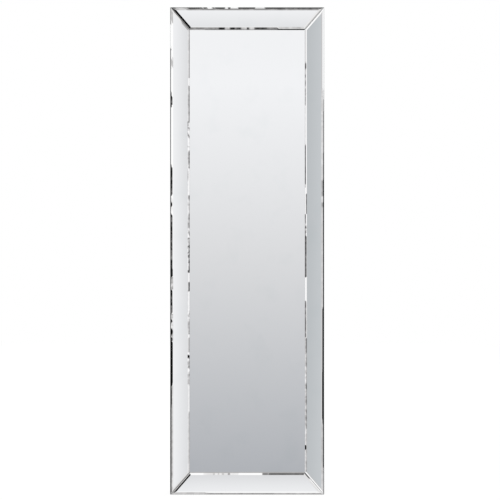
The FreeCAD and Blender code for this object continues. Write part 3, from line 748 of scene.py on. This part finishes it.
def makeStrip(side):
    tilt = strip["tilt"]
    width = strip["width"]
    inward = inwards[side]
    standing = side in ("left", "right")
    span = panelHeight if standing else panelWidth
    reachIn = panelWidth / 2 if standing else panelHeight / 2
    alongAxis = backward.cross(inward)
    acrossAxis = inward * math.cos(tilt) + backward * math.sin(tilt)
    outAxis = inward * math.sin(tilt) - backward * math.cos(tilt)
    head = strip["foot"] + width * math.sin(tilt)
    start = Vector((0, 0, middleZ)) - inward * (reachIn - strip["margin"]) - backward * head
    edgeHeight = strip["glass"] - strip["bevelDepth"]
    halfOuter = span / 2 - strip["margin"] - edgeHeight * math.sin(tilt) - strip["mitreGap"] / math.sqrt(2)
    drawIn = width * math.cos(tilt)
    mitreLength = math.hypot(drawIn, width)

    # the outline moved in by the same distance on all four edges
    def corners(inset):
        low, high = inset, width - inset
        atLow = halfOuter - (inset * mitreLength + drawIn * low) / width
        atHigh = halfOuter - (inset * mitreLength + drawIn * high) / width
        return [(-atLow, low), (atLow, low), (atHigh, high), (-atHigh, high)]

    # inset and height of each ring of points, from the painted back to the face
    slope = strip["bevelDepth"] / strip["bevelWidth"]
    arris = strip["arris"]
    rings = (
        (strip["seam"], 0.0),
        (0.0, strip["seam"]),
        (0.0, edgeHeight - arris / 2),
        (arris, edgeHeight + arris * slope),
        (strip["bevelWidth"] - arris / 2, strip["glass"] - arris / 2 * slope),
        (strip["bevelWidth"] + arris / 2, strip["glass"]),
    )
    bands = (onGround, onGround, onGround, onBevel, onBevel)
    endNames = {
        "left": ("mitreBottom", "mitreTop"), "right": ("mitreTop", "mitreBottom"),
        "top": ("mitreLeft", "mitreRight"), "bottom": ("mitreRight", "mitreLeft"),
    }[side]
    edges = ("outer", endNames[0], "inner", endNames[1])
    outerPieces = round(2 * halfOuter / strip["piece"])
    innerPieces = round(2 * (halfOuter - drawIn) / strip["piece"])
    counts = (outerPieces, strip["mitrePieces"], innerPieces, strip["mitrePieces"])

    made = bmesh.new()
    runMap = made.loops.layers.uv.new("run")
    levelNames = ("tone", "broken", "reach", "beside", "ground")
    levelLayers = {name: made.loops.layers.float.new(name) for name in levelNames}
    loops = []
    for inset, height in rings:
        ring = []
        places = corners(inset)
        for e, count in enumerate(counts):
            a, b = Vector(places[e]), Vector(places[(e + 1) % len(places)])
            for i in range(count):
                flat = a.lerp(b, i / count)
                point = start + alongAxis * flat.x + acrossAxis * flat.y + outAxis * height
                ring.append(made.verts.new(point))
        loops.append(ring)
    edgeOf = [edge for edge, count in zip(edges, counts) for i in range(count)]

    # share of the way along an edge, from the top, the left or the frame's outer corner
    def share(edge, point):
        if edge in endNames:
            return (point - start).dot(acrossAxis) / width
        if standing:
            return (boardHigh.z - point.z) / panelHeight
        return (point.x - boardLow.x) / panelWidth

    # place on the noise: along the edge, and in from it
    def runPlace(edge, along, across):
        if edge == "outer":
            return along, across
        if edge == "inner":
            return along + runStarts["inner"], width - across
        if edge == "foot":
            return along + runStarts["foot"], 0
        edgeX = halfOuter - drawIn * across / width
        mitreStart = runStarts["mitreAhead" if along > 0 else "mitreBehind"]
        return across + mitreStart, (edgeX - abs(along)) * width / mitreLength

    sideStart = runStarts["nextSide"] * list(inwards).index(side)
    count = len(edgeOf)
    for k, band in enumerate(bands):
        for i in range(count):
            j = (i + 1) % count
            face = made.faces.new((loops[k][i], loops[k][j], loops[k + 1][j], loops[k + 1][i]))
            edge = edgeOf[i]
            if edge == "inner" and band == onGround:
                edge = "foot"
            face.material_index = onBevel if edge == "foot" else band
            fade = strip["runFade"] / (width if edge in endNames else span)
            for loop in face.loops:
                point = loop.vert.co
                flat = point - start
                along, inFrom = runPlace(edge, flat.dot(alongAxis), flat.dot(acrossAxis))
                loop[runMap].uv = (along + sideStart, inFrom)
                # the painted reflection and painted light levels go on each corner as attributes
                for name, level in bevelLevels(side, edge, share(edge, point), fade).items():
                    loop[levelLayers[name]] = level
    made.faces.new(loops[-1]).material_index = onFace
    made.faces.new(list(reversed(loops[0]))).material_index = onBack

    name = "mirrorStrip" + side.capitalize()
    mesh = bpy.data.meshes.new(name)
    made.to_mesh(mesh)
    made.free()
    for material in stripMaterials:
        mesh.materials.append(material)
    # light goes through the wedge of glass to the silver and back, so a bevel turns it less than its slope
    bend = glassIndex - 1
    smallAngle = 1e-4          # radians, under which there is nothing to bend
    normals = []
    for polygon in mesh.polygons:
        normal = polygon.normal.copy()
        if polygon.material_index == onBevel and normal.angle(outAxis) > smallAngle:
            normal = outAxis.slerp(normal, bend)
        normals += [normal] * polygon.loop_total
    mesh.normals_split_custom_set(normals)
    piece = bpy.data.objects.new(name, mesh)
    bpy.context.collection.objects.link(piece)
    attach(piece, "mirror")
    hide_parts("mirror_strip_" + side)


for side in inwards:
    makeStrip(side)
print("bevelled strips made")

# Screws: turned, with a cross recess, set out on their places by Geometry Nodes, each left at its own turn.
screwLook = {
    "steps": 36,              # round the head and shank
    "sharpAngle": 28,         # degrees, past which an edge shows
    # half length, half width and depth of the cross in millimetres, and the share of it left at the bottom
    "recess": {"reach": 2.1, "half": 0.5, "depth": 1.6, "taper": 0.5},
}
boardScrew = {
    "edge": 14 * mm, "end": 60 * mm, "perSide": 7, "perEnd": 3, "seed": 3,
    # radius and depth below the board's back, in millimetres
    "profile": ((3.55, 0), (3.85, 0.06), (4.0, 0.3), (1.7, 2.4), (1.7, 18.6), (0, 22)),
}
hangerScrew = {
    # the holes are measured from the ring's axis, which lies half a barrel inside the strap's end
    "holes": (20.5 * mm, 29.5 * mm), "barrel": 2.78 * mm, "sheet": 2.4 * mm, "seed": 11,
    # radius and depth below the strap's outer face, in millimetres
    "profile": (
        (2.35, -2.4), (2.8, -2.3), (3.2, -2.0), (3.5, -1.5), (3.66, -0.9), (3.7, -0.2), (3.62, 0),
        (1.6, 0), (1.6, 12.8), (0, 16),
    ),
}


def turnScrew(name, profile):
    steps = screwLook["steps"]
    recess = screwLook["recess"]
    made = bmesh.new()
    rings = []
    for radius, depth in profile:
        ring = []
        for i in range(steps if radius else 1):
            angle = 2 * math.pi * i / steps
            point = (radius * math.cos(angle) * mm, -depth * mm, radius * math.sin(angle) * mm)
            ring.append(made.verts.new(point))
        rings.append(ring)
    for upper, lower in zip(rings, rings[1:]):
        for i in range(steps):
            j = (i + 1) % steps
            below = (lower[0],) if len(lower) == 1 else (lower[j], lower[i])
            made.faces.new((upper[i], upper[j], *below))
    reach, half, taper = recess["reach"], recess["half"], recess["taper"]
    plan = (
        (reach, -half), (reach, half), (half, half), (half, reach), (-half, reach), (-half, half),
        (-reach, half), (-reach, -half), (-half, -half), (-half, -reach), (half, -reach), (half, -half),
    )
    top = profile[0][1]
    bottom = top + recess["depth"]
    mouth = [made.verts.new((x * mm, -top * mm, z * mm)) for x, z in plan]
    root = [made.verts.new((x * taper * mm, -bottom * mm, z * taper * mm)) for x, z in plan]
    rim = []
    for i in range(len(plan)):
        j = (i + 1) % len(plan)
        made.faces.new((mouth[i], mouth[j], root[j], root[i]))
        rim.append(made.edges.get((mouth[i], mouth[j])))
    made.faces.new(root)
    for i in range(steps):
        rim.append(made.edges.get((rings[0][i], rings[0][(i + 1) % steps])))
    bmesh.ops.triangle_fill(made, use_beauty=True, edges=rim)
    bmesh.ops.recalc_face_normals(made, faces=made.faces)
    mesh = bpy.data.meshes.new(name)
    made.to_mesh(mesh)
    made.free()
    mesh.shade_smooth()
    mesh.set_sharp_from_angle(angle=math.radians(screwLook["sharpAngle"]))
    screw = bpy.data.objects.new(name, mesh)
    bpy.context.collection.objects.link(screw)
    return screw


setOut = bpy.data.node_groups.new("setOutScrews", "GeometryNodeTree")
setOut.interface.new_socket("Places", in_out="INPUT", socket_type="NodeSocketGeometry")
screwSocket = setOut.interface.new_socket("Screw", in_out="INPUT", socket_type="NodeSocketObject")
seedSocket = setOut.interface.new_socket("Turn Seed", in_out="INPUT", socket_type="NodeSocketInt")
steelSocket = setOut.interface.new_socket("Steel", in_out="INPUT", socket_type="NodeSocketMaterial")
setOut.interface.new_socket("Screws", in_out="OUTPUT", socket_type="NodeSocketGeometry")
given = addNode(setOut, "NodeGroupInput")
points = addNode(setOut, "GeometryNodeMeshToPoints", None, None, {"Mesh": given.outputs["Places"]})
single = addNode(
    setOut, "GeometryNodeObjectInfo", {"transform_space": "ORIGINAL"}, {"As Instance": True},
    {"Object": given.outputs["Screw"]},
)
turn = addNode(
    setOut, "FunctionNodeRandomValue", {"data_type": "FLOAT"}, {2: 0.0, 3: 2 * math.pi},
    {"Seed": given.outputs["Turn Seed"]},
)
axis = addNode(setOut, "ShaderNodeCombineXYZ", None, None, {"Y": turn.outputs[1]})
spin = addNode(setOut, "FunctionNodeEulerToRotation", None, None, {0: axis.outputs[0]})
placed = addNode(
    setOut, "GeometryNodeInstanceOnPoints", None, None,
    {"Points": points.outputs[0], "Instance": single.outputs["Geometry"], "Rotation": spin.outputs[0]},
)
solid = addNode(setOut, "GeometryNodeRealizeInstances", None, None, {0: placed.outputs[0]})
coated = addNode(
    setOut, "GeometryNodeSetMaterial", None, None,
    {"Geometry": solid.outputs[0], "Material": given.outputs["Steel"]},
)
addNode(setOut, "NodeGroupOutput", None, None, {0: coated.outputs[0]})


def makeScrews(name, node, places, screw, steel):
    single = turnScrew(name + "One", screw["profile"])
    mesh = bpy.data.meshes.new(name + "Places")
    mesh.from_pydata(places, [], [])
    holder = bpy.data.objects.new(name + "Places", mesh)
    bpy.context.collection.objects.link(holder)
    modifier = holder.modifiers.new("setOut", "NODES")
    modifier.node_group = setOut
    modifier[screwSocket.identifier] = single
    modifier[seedSocket.identifier] = screw["seed"]
    modifier[steelSocket.identifier] = steel
    done = bpy.data.meshes.new_from_object(holder.evaluated_get(bpy.context.evaluated_depsgraph_get()))
    done.name = name
    holder.modifiers.remove(modifier)
    bpy.data.objects.remove(holder)
    bpy.data.objects.remove(single)
    piece = bpy.data.objects.new(name, done)
    bpy.context.collection.objects.link(piece)
    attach(piece, "mirror")
    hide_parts(node)
    print(name, len(places), "screws,", len(done.polygons), "faces")


places = []
for x in (-1, 1):
    for i in range(boardScrew["perSide"]):
        up = (i / (boardScrew["perSide"] - 1) - 0.5) * (panelHeight - 2 * boardScrew["end"])
        places.append((x * (panelWidth / 2 - boardScrew["edge"]), boardBack, middleZ + up))
for z in (-1, 1):
    for i in range(boardScrew["perEnd"]):
        across = (i / (boardScrew["perEnd"] - 1) - 0.5) * (panelWidth - 2 * boardScrew["end"])
        places.append((across, boardBack, middleZ + z * (panelHeight / 2 - boardScrew["edge"])))
makeScrews("boardScrews", "board_screws", places, boardScrew, finishes["phosphatedSteel"])

places = []
strapFace = boardBack + hangerScrew["sheet"]
barrel = hangerScrew["barrel"]
for hanger in hangers:
    low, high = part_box("hanger_strap_" + hanger)
    for hole in hangerScrew["holes"]:
        if hanger.startswith("upright"):
            places.append(((low.x + high.x) / 2, strapFace, high.z - barrel - hole))
        else:
            places.append((high.x - barrel - hole, strapFace, (low.z + high.z) / 2))
makeScrews("hangerScrews", "hanger_screws", places, hangerScrew, finishes["zincPlatedSteel"])
